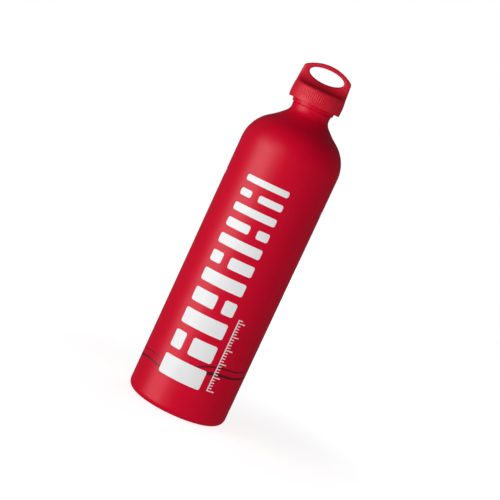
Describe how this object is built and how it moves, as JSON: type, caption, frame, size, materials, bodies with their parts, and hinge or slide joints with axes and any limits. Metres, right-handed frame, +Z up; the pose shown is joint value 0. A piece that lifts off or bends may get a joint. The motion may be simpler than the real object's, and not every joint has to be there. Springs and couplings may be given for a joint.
{
  "type": "camping fuel bottle",
  "caption": "Slim cylindrical metal fuel bottle with a rounded shoulder, narrow threaded neck and a push-and-turn screw cap with a carrying loop.",
  "frame": {"origin": "centre of the base, on the plane that the bottle stands on", "axes": "+Z up the bottle's axis towards the cap; the loop's flat face looks along -Y and +Y, and the loop is widest along X"},
  "size_m": [0.088, 0.088, 0.3145],
  "materials": {
    "lacquered_aluminium": "satin red lacquer over drawn aluminium",
    "red_plastic": "moulded, fine satin grain",
    "dark_plastic": "moulded, satin",
    "seal_rubber": "matt",
    "spring_steel": "drawn wire, bright",
    "washer_steel": "stamped, bright"
  },
  "bodies": {
    "bottle": {"bottle": "lacquered_aluminium"},
    "gasket": {"mouth_gasket": "seal_rubber"},
    "spring": {"clutch_spring": "spring_steel"},
    "plug": {"screw_plug": "dark_plastic"},
    "washer": {"thrust_washer": "washer_steel"},
    "shell": {"cap_shell": "red_plastic", "retaining_ring": "washer_steel"}
  },
  "joints": [
    {"name": "cap_lift", "type": "slide", "parent": "bottle", "child": "gasket", "axis": [0, 0, 1], "range_m": [0, 0.04]},
    {"name": "cap_rise", "type": "slide", "parent": "gasket", "child": "spring", "axis": [0, 0, 1], "range_m": [0, 0.0075]},
    {"name": "cap_turn", "type": "hinge", "parent": "spring", "child": "plug", "pos_m": [0, 0, 0], "axis": [0, 0, 1], "range_deg": [0, 900]},
    {"name": "push_down", "type": "slide", "parent": "plug", "child": "washer", "axis": [0, 0, -1], "range_m": [0, 0.002], "stiffness_N_per_m": 4000, "deforming": ["clutch_spring"]},
    {"name": "shell_spin", "type": "hinge", "parent": "washer", "child": "shell", "pos_m": [0, 0, 0], "axis": [0, 0, 1], "continuous": true}
  ],
  "couplings": [
    {"joint": "cap_rise", "follows": "cap_turn", "m_per_rad": 0.00047746}
  ]
}
